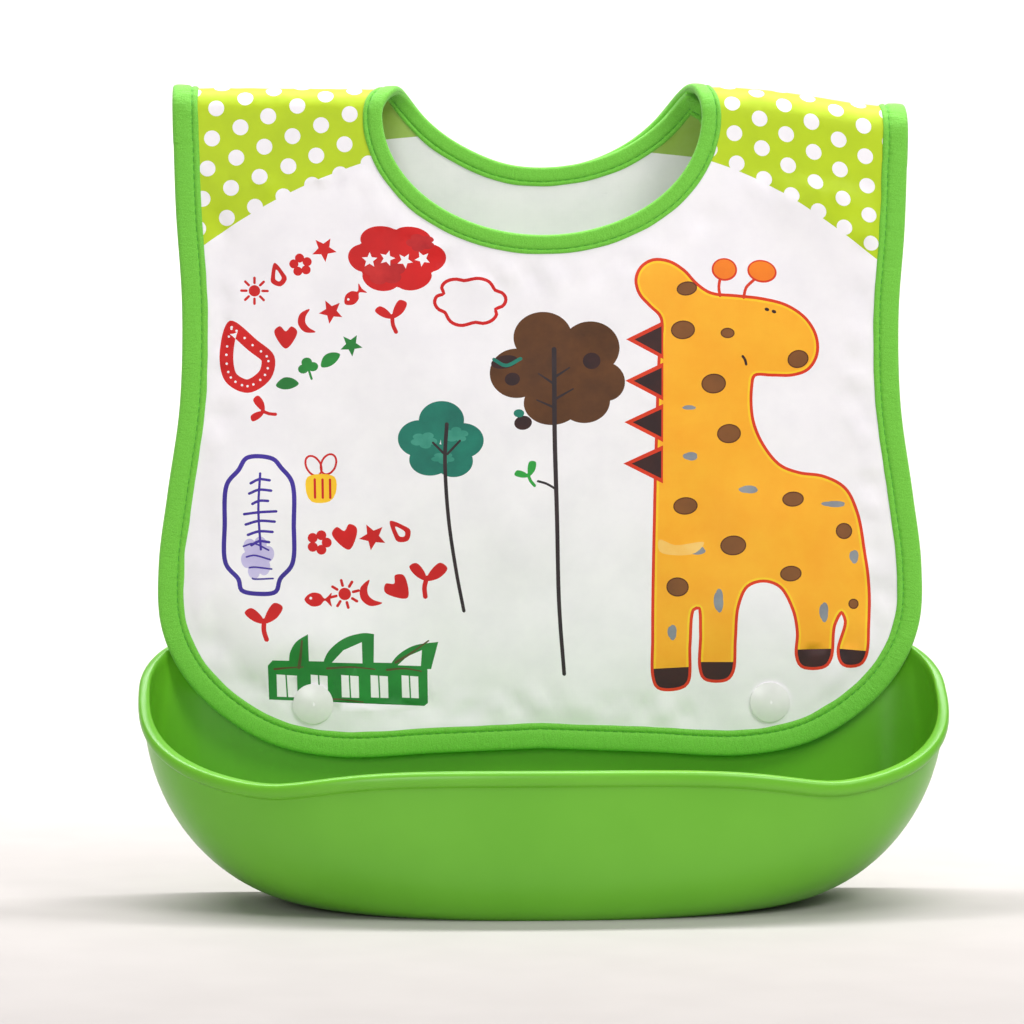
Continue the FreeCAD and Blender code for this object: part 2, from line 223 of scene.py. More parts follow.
def cloth_point(side, x, s, off):
    """A place in the row frame for a place in the cloth, off it by that much towards the printed side."""
    radius = FOLD_RADIUS[side]
    z_shift = droop(x, min(s, SHOULDER + 20))
    if s <= SHOULDER:
        return Vector((x, PANEL_Y - off, s + z_shift)) * MM
    a = (s - SHOULDER) / radius
    if a < math.pi:
        return Vector((x, PANEL_Y + radius - (radius + off) * math.cos(a),
                       SHOULDER + z_shift + (radius + off) * math.sin(a))) * MM
    return Vector((x, PANEL_Y + 2 * radius + off, SHOULDER + z_shift - (s - back_start(side)))) * MM


# --- print
def ellipse(cx, cz, rx, rz=None, turn=0.0, steps=0):
    rz = rx if rz is None else rz
    steps = steps or max(14, round(max(rx, rz) * 7))
    ct, st = math.cos(turn), math.sin(turn)
    out = []
    for i in range(steps):
        a = 2 * math.pi * i / steps
        u, v = rx * math.cos(a), rz * math.sin(a)
        out.append((cx + u * ct - v * st, cz + u * st + v * ct))
    return out


def lobed(cx, cz, rx, rz, lobes, depth=0.2, turn=0.0):
    """A cloud or a treetop: an ellipse with round lobes."""
    out = []
    steps = lobes * 16
    for i in range(steps):
        a = 2 * math.pi * i / steps
        k = 1 - depth + depth * abs(math.sin((a + turn) * lobes / 2)) ** 0.62 * (1 + 0.12 * math.sin(3 * a + turn))
        out.append((cx + rx * k * math.cos(a), cz + rz * k * math.sin(a)))
    return out


def stroke(points, width, closed=False, taper=1.0):
    """A line drawn with a pen of that width, as one loop, or two for a closed line."""
    path = smooth_path(points, closed, 1.0)
    n = len(path)
    left, right = [], []
    for i in range(n):
        tx, tz = heading(path, i, closed)
        half = width / 2 * (1 + (taper - 1) * i / (n - 1))
        left.append((path[i][0] - tz * half, path[i][1] + tx * half))
        right.append((path[i][0] + tz * half, path[i][1] - tx * half))
    if closed:
        return [left, right]
    cap = []
    for tip, back, half in ((path[-1], path[-2], width * taper / 2), (path[0], path[1], width / 2)):
        a0 = math.atan2(tip[1] - back[1], tip[0] - back[0])
        cap.append([(tip[0] + half * math.cos(a0 + b), tip[1] + half * math.sin(a0 + b)) for b in (0.9, 0.0, -0.9)])
    return [left + cap[0] + right[::-1] + cap[1]]


def star(cx, cz, r, points=5, turn=0.3, deep=0.45):
    out = []
    for i in range(points * 2):
        a = turn + math.pi * i / points
        k = r if i % 2 == 0 else r * deep
        out.append((cx + k * math.cos(a), cz + k * math.sin(a)))
    return out


def placer(cx, cz, size, turn):
    """Turns a place in a drawing of its own into a place on the cloth."""
    ct, st = math.cos(turn), math.sin(turn)
    return lambda u, v: (cx + size * (u * ct - v * st), cz + size * (u * st + v * ct))


DOODLES = {
    "heart": [[(0, -0.95), (-0.75, -0.1), (-0.9, 0.5), (-0.45, 0.85), (0, 0.45), (0.45, 0.85), (0.9, 0.5),
               (0.75, -0.1)]],
    "drop": [[(0, 1.0), (-0.5, 0.1), (-0.62, -0.45), (0, -0.9), (0.62, -0.45), (0.5, 0.1)],
             [(0, 0.45), (-0.2, 0.0), (-0.24, -0.3), (0, -0.5), (0.24, -0.3), (0.2, 0.0)]],
    "moon": [[(0.35, 0.95), (-0.5, 0.75), (-0.85, 0.0), (-0.5, -0.75), (0.35, -0.95), (-0.1, -0.45), (-0.25, 0.0),
              (-0.1, 0.45)]],
    "fish": [[(-0.95, 0.0), (-0.45, 0.48), (0.15, 0.42), (0.5, 0.08), (0.98, 0.5), (0.9, 0.0), (0.98, -0.5),
              (0.5, -0.08), (0.15, -0.42), (-0.45, -0.48)]],
    "leaf": [[(-0.95, -0.2), (-0.3, 0.5), (0.5, 0.45), (1.0, 0.0), (0.4, -0.42), (-0.4, -0.5)]],
}


def doodle(kind, cx, cz, size, turn):
    """A small plain drawing, as a list of shapes, each with its loops."""
    put = placer(cx, cz, size, turn)
    if kind in DOODLES:
        loops = [smooth_path([put(*p) for p in points], True, 0.5) for points in DOODLES[kind]]
        eye = [ellipse(*put(-0.5, 0.1), size * 0.1, size * 0.1, 0, 10)] if kind == "fish" else []
        return [loops + eye]
    if kind == "star":
        return [[star(cx, cz, size, 5, turn + 0.3)]]
    if kind == "clover":
        leaves = [[ellipse(*put(u, v), size * 0.46, size * 0.4, turn, 18)]
                  for u, v in ((-0.42, 0.1), (0.42, 0.1), (0.0, 0.6))]
        return leaves + [stroke([put(0, 0.1), put(0.05, -0.9)], size * 0.2)]
    if kind == "sun":
        rays = [stroke([put(r * math.cos(a), r * math.sin(a)) for r in (0.62, 1.02)], size * 0.2)
                for a in (k * math.pi / 4 for k in range(8))]
        return [[ellipse(cx, cz, size * 0.45, size * 0.45, 0, 20)]] + rays
    if kind == "flower":
        return [[ellipse(*put(0.55 * math.cos(a), 0.55 * math.sin(a)), size * 0.36, size * 0.36, 0, 16)]
                for a in (k * 2 * math.pi / 5 for k in range(5))]
    raise ValueError(f"no doodle called {kind}")


def sprout(cx, cz, size, turn=0.0):
    """Two round leaves on a short stalk."""
    put = placer(cx, cz, size, turn)
    left = [put(0, 0), put(-0.34, 0.1), put(-0.62, 0.42), put(-0.4, 0.56), put(-0.1, 0.3)]
    right = [put(0, 0), put(0.1, 0.34), put(0.4, 0.66), put(0.66, 0.5), put(0.42, 0.14)]
    stalk = stroke([put(0, 0.1), put(-0.04, -0.25), put(0.02, -0.55)], size * 0.16)
    return [[smooth_path(left, True, 0.5)], [smooth_path(right, True, 0.5)], stalk]


class Print:
    """What is printed, in paint order, as (colour, loops)."""

    def __init__(self):
        self.shapes = []

    def fill(self, colour, *loops):
        self.shapes.append((colour, list(loops)))

    def blobs(self, colour, turn, *ellipses):
        for sizes in ellipses:
            self.fill(colour, ellipse(*sizes, turn))

    def pen(self, colour, width, points, closed=False, taper=1.0):
        self.shapes.append((colour, stroke(points, width, closed, taper)))

    def add(self, colour, shapes):
        self.shapes += [(colour, loops) for loops in shapes]

    def moved(self, place):
        """Every shape with its points put through the function."""
        return [(colour, [[place(x, z) for x, z in loop] for loop in loops]) for colour, loops in self.shapes]


GIRAFFE = [(32.2, 212), (33.8, 216), (37.6, 218.4), (42.6, 218), (47.4, 215.2), (52, 210.4), (56.8, 207.4),
           (65.5, 206.6), (74.5, 206), (82.5, 204.4), (88.6, 200.6), (92.2, 194.9), (92.6, 188.4), (89.8, 183.4),
           (84.8, 181.3), (78, 181), (71.6, 180.6), (70.4, 176), (70.9, 165), (74.4, 156.4), (80.4, 149.2),
           (87, 146.6), (95.5, 145.4), (102.4, 141.6), (106.4, 133.4), (108.6, 121.8), (110.4, 108), (110.2, 94.5),
           (109.2, 84.4), (107.2, 82), (102.2, 82), (100.8, 86), (103.3, 96.6), (101.5, 100), (98.7, 95.4),
           (97.4, 84), (95.4, 81.3), (88.2, 81.2), (86.6, 84.6), (86.9, 92.5), (85.4, 100.5), (80.9, 108.4),
           (75, 110.4), (69.2, 108.4), (65.9, 101.4), (64.9, 90), (64.2, 79), (62.2, 76.4), (55.4, 76.6), (54, 80),
           (54.2, 92), (53.4, 100.8), (51, 100.2), (49.6, 88), (49, 75.2), (46.6, 73.4), (39.6, 73.4), (38.1, 76.6),
           (38, 90), (38.2, 110), (38.6, 134), (39.2, 160), (39.9, 184), (40.6, 199.4), (36.8, 203.6), (33.4, 207.4)]
SPOTS = ((48.8, 209.3, 3.5, 2.4, 0.2), (47.5, 195.2, 4.1, 3.2, 0.1), (62.6, 194.4, 2.4, 1.8, 0),
         (58, 177.1, 4.2, 3.4, 0.1), (63.3, 160.1, 4.1, 3.3, 0.1), (85.1, 138, 3.7, 2.6, 0.1),
         (102.4, 127.3, 2.8, 2.8, 0), (48.6, 135.2, 4.2, 3, 0.1), (64.8, 121.9, 4.4, 3.4, 0.1),
         (86.7, 186.4, 3.7, 3.1, 0.4), (45.9, 107.5, 3.8, 3.3, 0), (84.3, 112.5, 3.7, 2.7, 0.1),
         (105.6, 102.4, 1.8, 1.8, 0))
SMUDGES = ((49.7, 168.8, 2.4, 0.8, -0.6), (50.2, 152.2, 2.6, 1.5, -0.1), (70, 141.1, 3.4, 1.4, -0.3),
           (98.9, 136.5, 4.2, 1.1, 0), (51.9, 120.1, 3.8, 1.6, -0.3), (105.8, 118.6, 1.6, 2.4, 0.2),
           (59.8, 103, 1.7, 4.2, -0.15), (44.1, 92, 1.6, 2.7, 0.1), (95.5, 99.5, 1.6, 3.5, 0.1))
HOOVES = ((36, 50.4, 80.4), (53, 66, 82.4), (86, 98.6, 87.2), (100, 112, 87.4))     # left, right, top


def giraffe(art):
    body = smooth_path(GIRAFFE, True, 1.2)
    art.fill("redorange", body_outline(body, 1.05))
    art.fill("yellow", body)
    art.fill("orange", body_outline(body, -0.75))
    for i in range(4):
        z = 191.7 - i * 14.1
        art.fill("redorange", [(40.9, z + 6.4), (28.4 - i * 0.3, z), (40.9, z - 6.6)])
        art.fill("ink", [(40.3, z + 4.6), (31.2 - i * 0.3, z), (40.3, z - 4.9)])
    for left, right, top in HOOVES:
        art.fill("ink", [point for point in body if left < point[0] < right and point[1] < top])
    for cx, cz, rx, rz, turn in SPOTS:
        art.blobs("brown", turn, (cx, cz, rx, rz))
        art.blobs("cocoa", turn, (cx, cz, rx - 0.4, rz - 0.4))
    for cx, cz, rx, rz, turn in SMUDGES:
        art.fill("smudge", lobed(cx, cz, rx, rz, 3, 0.18, turn))
    patch = [(39.6, 123.6), (45, 121.8), (55, 122.8), (52, 119.2), (44, 118.4), (39.8, 119.6)]
    art.fill("buff", smooth_path(patch, True))
    art.pen("redorange", 1, [(60, 207), (59.6, 210), (60.2, 213.6)])
    art.pen("redorange", 1, [(68, 206.6), (68.8, 210), (71.4, 212.8)])
    for cx, rx in ((61.5, 4.3), (74.2, 5)):
        art.blobs("redorange", -0.05, (cx, 216, rx, 3.9))
        art.blobs("tangerine", -0.05, (cx, 216.1, rx - 0.6, 3.3))
    art.pen("ink", 0.9, [(67.8, 186.6), (68.6, 185.4), (69, 183.9)])
    art.blobs("ink", -0.3, (75.9, 203, 0.8, 0.6), (78.3, 202.4, 0.8, 0.6))


def body_outline(loop, grow):
    """The loop grown outwards, or shrunk if negative."""
    area = sum(a[0] * b[1] - b[0] * a[1] for a, b in zip(loop, loop[1:] + loop[:1]))
    turn = 1 if area > 0 else -1
    out = []
    n = len(loop)
    for i in range(n):
        a, b = loop[i - 2], loop[(i + 2) % n]
        size = math.dist(a, b) or 1.0
        out.append((loop[i][0] + turn * grow * (b[1] - a[1]) / size, loop[i][1] - turn * grow * (b[0] - a[0]) / size))
    return out


def castle(art):
    art.fill("green", [(-91.4, 68), (-91.8, 79.6), (-90.2, 81.4), (-38.4, 80.6), (-38.2, 67.2), (-39.4, 66.2)])
    for tall in ([(-84.4, 84), (-83.8, 89.6), (-81.4, 94.4), (-77, 97.8), (-76.6, 83.6)],
                 [(-71.6, 83.6), (-69, 90.2), (-63, 96), (-55.6, 98.4), (-51.6, 98), (-51.8, 82.4)],
                 [(-46.4, 82.2), (-42.4, 88.4), (-36.2, 92.8), (-26.8, 94.6), (-29.6, 82)]):
        curve = smooth_path(tall[:-1], step=1) + tall[-1:]
        art.fill("green", [(x * 0.87 - 11.4, 80.2 + (z - 84) * 0.74) for x, z in curve])
    art.fill("white", [(-70.4, 80.8), (-66.6, 85), (-60.4, 87.8), (-60.2, 80.6)])
    art.fill("white", [(-48.4, 80), (-45.2, 83), (-40.2, 85.2), (-40.6, 79.8)])
    art.pen("umber", 1.2, [(-81.4, 79), (-80.8, 83.6), (-80.4, 88.2)], taper=0.5)
    art.pen("umber", 1, [(-49, 81), (-43.8, 84.2), (-38, 88.4)], taper=0.5)
    for x, wide in ((-88.7, 6.6), (-77.3, 5.4), (-67.1, 5.6), (-57.3, 5.6), (-46.9, 5.4)):
        art.fill("white", [(x, 69), (x - 0.2, 76.6), (x + wide, 76.2), (x + wide + 0.2, 68.8)])
        art.pen("green", 0.5, [(x + wide * 0.45, 76.4), (x + wide * 0.52, 68.8)])
    for x0, z0, x1, z1 in ((-89.6, 78.4, -80, 79.2), (-72, 78.8, -56, 78.6), (-52, 78.4, -40.4, 78),
                           (-76, 67.8, -60, 67.4)):
        art.pen("umber", 0.8, [(x0, z0), ((x0 + x1) / 2, z0 + 0.5), (x1, z1)], taper=0.5)


def jar_and_bee(art):
    jar = [(-98.6, 149.6), (-90, 149.4), (-87.2, 146.4), (-83.6, 141.6), (-83, 127), (-83.6, 113.6),
           (-87.6, 108.6), (-89, 104.4), (-94.6, 103.6), (-100.4, 104.8), (-101.4, 108.4), (-105.6, 113.6),
           (-106, 127), (-105.2, 140.6), (-101.4, 145.4)]
    art.pen("violet", 1.5, jar, True)
    art.fill("lilac", lobed(-95.2, 116, 5.6, 7.4, 6, 0.3, 0.3))
    rng = random.Random(4)
    for i in range(7):
        z = 141.6 - i * 3.5
        w = 2.2 + rng.random() * 3.2
        art.pen("violet", 0.9, [(-94.4 - w, z - 0.6), (-94.6, z + 0.9 - rng.random()), (-94.0 + w, z + 0.5)])
    art.pen("violet", 0.8, [(-94.2, 144.4), (-94.8, 132), (-94, 118.6)])
    for i in range(4):
        art.pen("violet", 0.6, [(-99.8 + i, 119.6 - 3.6 * i), (-96.4, 120.6 - 4 * i),
                                (-91.4 + i * 0.5, 118.4 - 3.2 * i)])
    art.pen("red", 0.7, ellipse(-76.4, 147.2, 2.4, 3.6, 0.5)[::2], True)
    art.pen("red", 0.7, ellipse(-71.4, 147.8, 2.4, 3.6, -0.4)[::2], True)
    bee = [(-78.4, 143.4), (-69.4, 143.6), (-69, 138), (-71, 135.2), (-77, 135), (-78.8, 138)]
    art.fill("yellow", smooth_path(bee, True))
    for x in (-76, -73.4, -70.9):
        art.pen("red", 0.8, [(x, 142.6), (x + 0.1, 136.4)])


def trees(art):
    art.blobs("teal", 0.1, (-33.6, 163.2, 7.6, 6.6), (-41, 157, 7.2, 6.2), (-26.6, 156.4, 7.2, 6),
              (-37.2, 150, 7.2, 5.6), (-29.4, 149.4, 6.4, 5.4))
    for cx, cz, rx, rz in ((-39.4, 156.4, 4.6, 2.8), (-28.6, 158.4, 4.2, 2.6), (-33, 150.4, 4, 2)):
        art.fill("palteal", lobed(cx, cz, rx, rz, 5, 0.35, cx))
    art.pen("trunk", 1.3, [(-31.8, 162), (-32.4, 150), (-31.2, 130), (-28.6, 112), (-26, 98.4)], taper=0.9)
    art.pen("trunk", 0.8, [(-36.4, 155.6), (-32.4, 151.6)])
    art.pen("trunk", 0.8, [(-27.4, 156.4), (-31.6, 151.8)])
    art.blobs("bark", 0.1, (0.4, 192, 9.8, 8.6), (16.4, 188.6, 9.8, 9), (-8.4, 179.6, 9, 8.4),
              (21.6, 177.2, 6.4, 6.6), (3.6, 169.8, 9.6, 7.6), (14.4, 170.6, 8.6, 7.6), (6.6, 180, 10, 9))
    art.blobs("ink", 0.2, (-12.4, 183.4, 4.6, 2.2), (16.8, 184.2, 3, 2.8), (-9.8, 177.6, 2.6, 2.2),
              (-6.2, 162.8, 3, 2.4))
    art.pen("teal", 1.2, [(-16, 184.2), (-12, 182.2), (-7, 184.6)])
    art.blobs("teal", 0, (-7.6, 166, 1.8, 1.4))
    for start, end in (((4.4, 176), (-1, 179.6)), ((4.6, 171), (10.6, 174.6)), ((4.6, 168), (-1.6, 170.6)),
                       ((4.6, 178.6), (9.4, 181.8))):
        art.pen("trunk", 0.9, [start, end], taper=0.5)
    art.pen("trunk", 1.6, [(4.2, 188), (4.4, 160), (5.2, 130), (6, 100), (7.6, 77.4)], taper=0.8)
    art.pen("trunk", 0.8, [(4.8, 140.4), (1.6, 142.2), (-1.2, 143)])
    art.add("leafgreen", sprout(-4.2, 144.6, 6.6, 0.5))


def row(art, slope, colour, x, z, pitch, items, size):
    """Doodles one after another along a slanting line."""
    for i, item in enumerate(items):
        cx, cz = x + slope[0] * pitch * i, z + slope[1] * pitch * i + (0.5 if i % 2 else -0.4)
        art.add(colour, doodle(item, cx, cz, size, 0.25 * i))


def print_motifs():
    """Everything printed on the front, in paint order, as (colour, loops)."""
    art = Print()
    art.fill("red", lobed(-48.6, 218, 16.4, 11.8, 6, 0.22, 0.5))
    art.fill("darkred", lobed(-52.6, 213.2, 7, 4.4, 5, 0.3, 0.2))
    art.fill("darkred", lobed(-40.6, 223.4, 5, 3, 5, 0.3, 1.2))
    for i in range(4):
        art.fill("white", star(-57.6 + i * 5.9, 217.2 + (i % 2) * 0.7, 2.7, 5, 0.3 + i))
    art.pen("red", 1.15, lobed(-24.1, 203.8, 12, 8.4, 6, 0.24, 0.4)[::3], True)
    steep, slight = Vector((0.86, 0.5)), Vector((1, 0.12))
    row(art, steep, "red", -96, 206.6, 9, ("sun", "drop", "flower", "star"), 4.3)
    row(art, steep, "red", -85.6, 191.2, 8.8, ("heart", "moon", "star", "fish"), 4.2)
    row(art, steep, "green", -85.2, 175.4, 8.3, ("leaf", "clover", "leaf", "star"), 3.9)
    # a big stitched drop beside them
    drop = smooth_path([(-104.2, 196), (-107.6, 186), (-105.8, 175.4), (-98.2, 171.6), (-90.6, 176.6),
                        (-89.4, 184.2), (-95.2, 189.6)], True)
    art.fill("red", drop)
    art.fill("white", body_outline(drop, -4.6))
    for x, z in body_outline(drop, -2.3)[::2]:
        art.fill("white", ellipse(x, z, 0.42, 0.42, 0, 8))
    for place in ((-49.9, 197.6, 8.6, 0.2), (-92.8, 165.4, 7, 1.3), (-38.6, 108.6, 10, -0.1), (-92.8, 93.6, 10, 0.1)):
        art.add("red", sprout(*place))
    jar_and_bee(art)
    row(art, slight, "red", -74.6, 121.6, 9, ("flower", "heart", "star", "drop"), 4.7)
    row(art, slight, "red", -75, 102.2, 9, ("fish", "sun", "moon", "heart"), 4.7)
    building = Print()
    castle(building)
    art.shapes += building.moved(lambda x, z: (x + 0.1, z - 0.3))
    trees(art)
    giraffe(art)
    # the whole print is a little wider, lower and tilted on the cloth
    return art.moved(lambda x, z: (x * 1.0144 - 0.3, z - 2.9 - 0.0138 * x))


def lime(x, s):
    """Whether a place lies in the dotted lime yoke, whose edge is a wide arc."""
    return math.hypot(x, s - YOKE_HEIGHT) > YOKE_RADIUS


def dots(settings, low_s, high_s):
    """Centres of the staggered dots near a part of the yoke. The right shoulder's rows slope the other way."""
    pitch = settings.dot_spacing * 1000
    out = []
    for side, turn in ((-1, 0.37), (1, -0.46)):
        ct, st = math.cos(turn), math.sin(turn)
        for i in range(-60, 61):
            for j in range(-60, 61):
                u, v = (i + 0.5 * (j % 2)) * pitch, j * pitch * 0.866
                x, s = u * ct - v * st + side * 3, u * st + v * ct + 260
                near = abs(x) < 133 and low_s - 3 < s < high_s + 3
                if near and x * side > 0 and math.hypot(x, s - YOKE_HEIGHT) > YOKE_RADIUS - 4:
                    wobble = Vector((x, s, 2))
                    out.append((x + 0.35 * noise.noise(wobble), s + 0.35 * noise.noise(wobble + Vector((9, 9, 9)))))
    return out


# --- meshes
def make_object(name, verts, faces, materials, indices=(), uvs=()):
    mesh = bpy.data.meshes.new(name)
    mesh.from_pydata([tuple(v) for v in verts], [], faces)
    for material in materials:
        mesh.materials.append(material)
    if indices:
        mesh.polygons.foreach_set("material_index", indices)
    if uvs:
        layer = mesh.uv_layers.new(name="pattern")
        for loop in mesh.loops:
            layer.data[loop.index].uv = uvs[loop.vertex_index]
    mesh.polygons.foreach_set("use_smooth", [True] * len(mesh.polygons))
    mesh.update()
    obj = bpy.data.objects.new(name, mesh)
    bpy.context.scene.collection.objects.link(obj)
    return obj


def tucked(outline):
    """The cloth's own outline: inside the fold of the tape, and along the seam with points that both pieces share."""
    loop = [(x, SEAM if abs(s - SEAM) < 1.3 else s) for x, s in body_outline(outline, -0.5)]
    out = []
    for a, b in zip(loop, loop[1:] + loop[:1]):
        out.append(a)
        if a[1] == b[1] == SEAM and abs(a[0] - b[0]) > 6:
            shared = [x * 2.0 for x in range(-70, 71) if min(a[0], b[0]) + 0.4 < x * 2.0 < max(a[0], b[0]) - 0.4]
            out += [(x, SEAM) for x in (shared if a[0] < b[0] else shared[::-1])]
    return out


def tinted_until(side, x):
    """How far along the cloth the lime yoke shows through the lining."""
    return back_start(side) + (12.5 if x * side < 0 else 7.0) - 0.1 * abs(abs(x) - 54)


def cloth_piece(settings, name, side_of, outline, colours, motifs, dot_centres):
    """A printed, lined piece of cloth inside an outline, in the cloth's own plane."""
    xs, zs = [p[0] for p in outline], [p[1] for p in outline]
    tree = kdtree.KDTree(len(outline))
    for i, p in enumerate(outline):
        tree.insert((p[0], p[1], 0), i)
    tree.balance()
    paints = []
    for colour, loops in motifs:
        across, along = zip(*(p for loop in loops for p in loop))
        paints.append((colour, loops, min(across), max(across), min(along), max(along)))
    dot_r = settings.dot_diameter * 500
    dot_loops = [(x, s, ellipse(x, s, dot_r, dot_r, 0, 22)) for x, s in dot_centres]
    arc = [(YOKE_RADIUS * math.cos(a), YOKE_HEIGHT + YOKE_RADIUS * math.sin(a))
           for a in (math.radians(d * 0.5) for d in range(20, 341))]
    arc = [p for p in arc if min(xs) - 4 < p[0] < max(xs) + 4 and min(zs) - 4 < p[1] < max(zs) + 4]
    verts, edges = [], []

    def add(loop, closed=True):
        first = len(verts)
        verts.extend(Vector(p) for p in loop)
        edges.extend((first + i, first + i + 1) for i in range(len(loop) - 1))
        if closed:
            edges.append((first + len(loop) - 1, first))

    for drawn in [[outline]] + [loops for _, loops in motifs] + [[loop] for _, _, loop in dot_loops]:
        for loop in drawn:
            add(loop)
    runs, run = [], []
    for p in arc:
        if run and math.dist(run[-1], p) > 4:
            runs.append(run)
            run = []
        run.append(p)
    for piece in runs + [run]:
        if len(piece) > 1:
            add(piece, False)
    if max(zs) > SHOULDER + 20:
        border = [min(xs) - 3 + i * 2.0 for i in range(int((max(xs) - min(xs)) / 2) + 4)]
        add([(x, tinted_until(side_of, x)) for x in border], False)
    step = settings.grid_step * 1000
    for i in range(int((max(xs) - min(xs)) / step) + 1):
        for j in range(int((max(zs) - min(zs)) / step) + 1):
            p = (min(xs) + (i + 0.5 * (j % 2)) * step, min(zs) + j * step)
            if inside(p, outline):
                verts.append(Vector(p))
    flat, _, faces, *_ = delaunay_2d_cdt(verts, edges, [], 0, 1e-4)
    kept, indices, centres = [], [], []
    names = list(colours)
    for face in faces:
        cx, cz = (sum(flat[i][k] for i in face) / len(face) for k in (0, 1))
        if not inside((cx, cz), outline):
            continue
        colour = "lime" if lime(cx, cz) else "white"
        if colour == "lime" and any(math.dist((cx, cz), d[:2]) < dot_r for d in dot_loops):
            colour = "white"
        for paint, loops, x0, x1, z0, z1 in reversed(paints):
            if x0 < cx < x1 and z0 < cz < z1 and sum(inside((cx, cz), loop) for loop in loops) % 2:
                colour = paint
                break
        kept.append(tuple(face))
        centres.append((cx, cz))
        indices.append(names.index(colour))
    used = sorted({i for face in kept for i in face})
    order = {old: new for new, old in enumerate(used)}
    half = settings.thickness * 500
    front, back, uvs = [], [], []
    for x, s in (flat[i] for i in used):
        off = wrinkle(settings, x, s, tree.find((x, s, 0))[2])
        front.append(cloth_point(side_of, x, s, off + half))
        back.append(cloth_point(side_of, x, s, off - half))
        uvs.append((x * MM * 10, s * MM * 10))
    n = len(front)
    up = [tuple(order[i] for i in face) for face in kept]
    down = [tuple(n + i for i in face[::-1]) for face in up]
    lining = names.index("lining")
    tinted = names.index("lining_lime")
    inner = [tinted if name != "front_cloth" and s < tinted_until(side_of, x) else lining for x, s in centres]
    pairs = [pair for face in up for pair in zip(face, face[1:] + face[:1])]
    known = set(pairs)
    rim = [(a, b) for a, b in pairs if (b, a) not in known]
    sides = [(b, a, n + a, n + b) for a, b in rim]
    rims = [names.index("lime") if abs(flat[used[a]][1] - SEAM) < 2 else lining for a, b in rim]
    obj = make_object(name, front + back, up + down + sides, [colours[c] for c in names], indices + inner + rims,
                      uvs + uvs)
    sharp = obj.data.attributes.new("sharp_edge", "BOOLEAN", "EDGE")
    corners = {tuple(sorted(pair)) for a, b in rim for pair in ((a, b), (n + a, n + b))}
    for edge in obj.data.edges:
        if tuple(sorted(edge.vertices)) in corners:
            sharp.data[edge.index].value = True
    return obj


# a tape's section from its folded edge: (share of its width, share of its roll's height)
TAPE_SECTION = [(0.0, 0.0), (0.006, 0.36), (0.03, 0.66), (0.08, 0.88), (0.16, 0.985), (0.28, 1.0), (0.42, 0.98),
                (0.56, 0.92), (0.66, 0.82), (0.71, 0.68), (0.74, 0.5), (0.76, 0.4), (0.78, 0.48), (0.81, 0.64),
                (0.87, 0.7), (0.93, 0.64), (0.975, 0.48), (1.0, 0.28)]
STITCH_RINGS = [(-1.0, 0.0), (-0.8, 0.75), (-0.25, 1.0), (0.25, 1.0), (0.8, 0.75), (1.0, 0.0)]


def tape_piece(settings, name, side_of, path, outline, width_at):
    """A folded tape sewn over the cloth's edge along a path, with a row of stitches on each face."""
    path = even_steps(path, TAPE_STEP)
    n = len(path)
    lengths = run_lengths(path)
    total = lengths[-1]
    frames = [heading(path, i) for i in range(n)]
    middle = path[n // 2]
    test = (middle[0] - frames[n // 2][1] * 3, middle[1] + frames[n // 2][0] * 3)
    inward = 1 if inside(test, outline) else -1
    roll = settings.roll * 1000
    lift = 0.0 if name.startswith("front") else 0.04
    ring = [(a, b, 1) for a, b in TAPE_SECTION[::-1]] + [(a, -b, -1) for a, b in TAPE_SECTION[1:]]
    verts, uvs, faces, indices = [], [], [], []

    def place(at, a, b):
        i = min(n - 2, int(at))
        t = at - i
        px, pz = (path[i][k] + (path[i + 1][k] - path[i][k]) * t for k in (0, 1))
        tx, tz = (frames[i][k] + (frames[i + 1][k] - frames[i][k]) * t for k in (0, 1))
        return cloth_point(side_of, px - inward * tz * a, pz + inward * tx * a, b)

    for i, along in enumerate(lengths):
        width = width_at(along, total)
        wave = 0.25 * noise.noise(Vector((along / 9.0, 7.0, 2.0)))
        for a, b, face in ring:
            soft = 1 + 0.07 * noise.noise(Vector((along / 5.0, a * 2.0, face * 4.0)))
            pull = 1.0 - 0.10 * math.exp(-((a - GROOVE) / 0.12) ** 2) * math.cos(2 * math.pi * along / 3.0)
            verts.append(place(i, width * a + wave * (a > 0.9), b * (roll * soft * pull + lift)))
            uvs.append((along * 0.01, a * width * 0.01 + (0 if face > 0 else 0.5)))
    m = len(ring)
    for i in range(n - 1):
        for j in range(m - 1):
            quad = (i * m + j, i * m + j + 1, (i + 1) * m + j + 1, (i + 1) * m + j)
            faces.append(quad if inward < 0 else quad[::-1])
            indices.append(0)
    pitch = (settings.stitch_length + settings.stitch_gap) * 1000
    half = settings.stitch_length * 500
    for k in range(int(total / pitch)):
        centre = (k + 0.5) * pitch
        width = width_at(centre, total)
        for face in (1, -1):
            base = len(verts)
            for along, size in STITCH_RINGS:
                at = min(n - 1.001, max(0.0, (centre + half * along) / total * (n - 1)))
                for c in range(6):
                    angle = 2 * math.pi * c / 6
                    across, up = 0.17 * size * math.cos(angle), 0.13 * size * math.sin(angle)
                    verts.append(place(at, width * GROOVE + across, face * (roll * 0.42 + 0.02 + 0.06 * size + up)))
                    uvs.append((centre * 0.01, 0.0))
            for first in range(base, base + 30, 6):
                for c in range(6):
                    d = (c + 1) % 6
                    faces.append((first + c, first + d, first + 6 + d, first + 6 + c))
                    indices.append(1)
    return make_object(name, verts, faces, [finish_for("binding_tape"), finish_for("thread")], indices, uvs)


